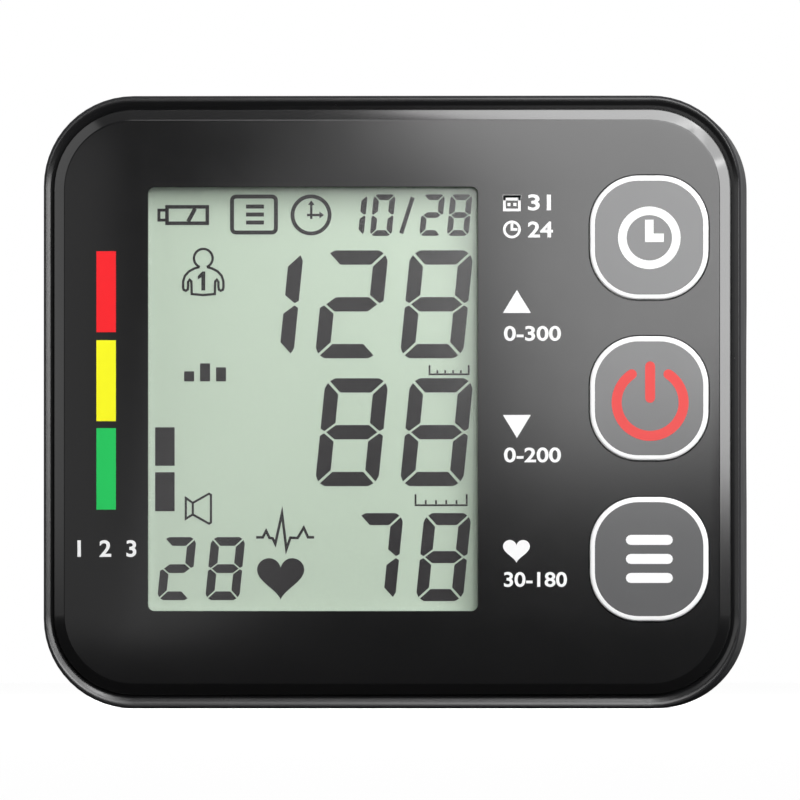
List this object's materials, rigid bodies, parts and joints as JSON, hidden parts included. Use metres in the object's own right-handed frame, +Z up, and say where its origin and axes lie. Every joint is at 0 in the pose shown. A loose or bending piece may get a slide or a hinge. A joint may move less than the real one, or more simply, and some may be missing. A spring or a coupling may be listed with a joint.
{
  "type": "wrist blood pressure monitor",
  "caption": "Wrist blood pressure monitor: a black rounded case with a tall display and a column of keys, on an oval fabric cuff that closes with a strap.",
  "frame": {"origin": "under the middle of the whole object, on the surface it stands on", "axes": "+Z up as in the picture, the display faces -Y, +X to the right as seen from the front, along the cuff's bore"},
  "size_m": [0.0698, 0.0754, 0.0613],
  "materials": {
    "panel_black": "polished acrylic printed black from behind",
    "window_clear": "clear acrylic",
    "display_green": "grey-green liquid crystal glass",
    "key_grey": "satin grey with a printed white outline",
    "bezel_black": "glossy moulded black",
    "cover_black": "fine spark-eroded texture",
    "moulding_white": "plain moulded",
    "moulding_dark": "plain moulded",
    "rubber_dark": "smooth",
    "hose_silicone": "translucent silicone",
    "board_green": "solder mask",
    "screw_steel": "plated",
    "contact_steel": "nickel plated",
    "cell_jacket": "plain printed sleeve",
    "cuff_weave": "brushed loop nylon",
    "cuff_lining": "smooth nylon",
    "hook_black": "hook tape"
  },
  "bodies": {
    "case": {"front_panel": "panel_black", "display_window": "window_clear", "display_glass": "display_green", "display_holder": "moulding_white", "contact_strip": "rubber_dark", "switch_body_start": "moulding_dark", "switch_body_power": "moulding_dark", "switch_body_memory": "moulding_dark", "main_board": "board_green", "controller_chip": "moulding_dark", "buzzer": "moulding_dark", "board_screw_1": "screw_steel", "board_screw_2": "screw_steel", "board_screw_3": "screw_steel", "cell_1": "cell_jacket", "cell_2": "cell_jacket", "cell_spring_1": "contact_steel", "cell_spring_2": "contact_steel", "contact_plate_1": "contact_steel", "contact_plate_2": "contact_steel", "contact_bridge": "contact_steel", "cell_tray": "cover_black", "pump_head": "moulding_white", "pump_diaphragm": "rubber_dark", "pump_drive_plate": "moulding_white", "pump_housing": "moulding_white", "pump_motor": "contact_steel", "valve_body": "moulding_dark", "valve_spring": "contact_steel", "valve_cap": "contact_steel", "pressure_sensor": "moulding_white", "air_junction": "moulding_white", "hose_sensor": "hose_silicone", "hose_cuff": "hose_silicone", "hose_pump": "hose_silicone", "hose_valve": "hose_silicone", "front_bezel": "bezel_black", "rear_cover": "cover_black", "case_screw_1": "screw_steel", "case_screw_2": "screw_steel", "case_screw_3": "screw_steel", "case_screw_4": "screw_steel", "cuff_nipple": "moulding_white", "cuff_screw_1": "screw_steel", "cuff_screw_2": "screw_steel", "cuff_fabric": "cuff_weave", "cuff_stiffener": "moulding_white", "cuff_bladder": "rubber_dark", "cuff_lining": "cuff_lining"},
    "start_key": {"key_start": "key_grey", "switch_plunger_start": "moulding_dark"},
    "power_key": {"key_power": "key_grey", "switch_plunger_power": "moulding_dark"},
    "memory_key": {"key_memory": "key_grey", "switch_plunger_memory": "moulding_dark"},
    "door": {"cell_door": "cover_black"},
    "strap": {"cuff_strap": "cuff_weave", "hook_patch": "hook_black"},
    "crank": {"pump_crank": "screw_steel"},
    "valve": {"valve_plunger": "screw_steel"}
  },
  "joints": [
    {"name": "start_key_press", "type": "slide", "parent": "case", "child": "start_key", "axis": [0, 1, 0], "range_m": [0, 0.0005], "stiffness_N_per_m": 2400},
    {"name": "power_key_press", "type": "slide", "parent": "case", "child": "power_key", "axis": [0, 1, 0], "range_m": [0, 0.0005], "stiffness_N_per_m": 2400},
    {"name": "memory_key_press", "type": "slide", "parent": "case", "child": "memory_key", "axis": [0, 1, 0], "range_m": [0, 0.0005], "stiffness_N_per_m": 2400},
    {"name": "door_swing", "type": "hinge", "parent": "case", "child": "door", "pos_m": [-0.0337, -0.02598, 0.03065], "axis": [0, 0, 1], "range_deg": [0, 95]},
    {"name": "strap_open", "type": "hinge", "parent": "case", "child": "strap", "pos_m": [0, 0.02407, 0.00441], "axis": [-1, 0, 0], "range_deg": [0, 60]},
    {"name": "crank_turn", "type": "hinge", "parent": "case", "child": "crank", "pos_m": [0.0195, -0.02318, 0.042], "axis": [0, 0, 1], "continuous": true},
    {"name": "valve_close", "type": "slide", "parent": "case", "child": "valve", "axis": [0, 0, 1], "range_m": [0, 0.0008], "stiffness_N_per_m": 300, "deforming": ["valve_spring"]}
  ]
}
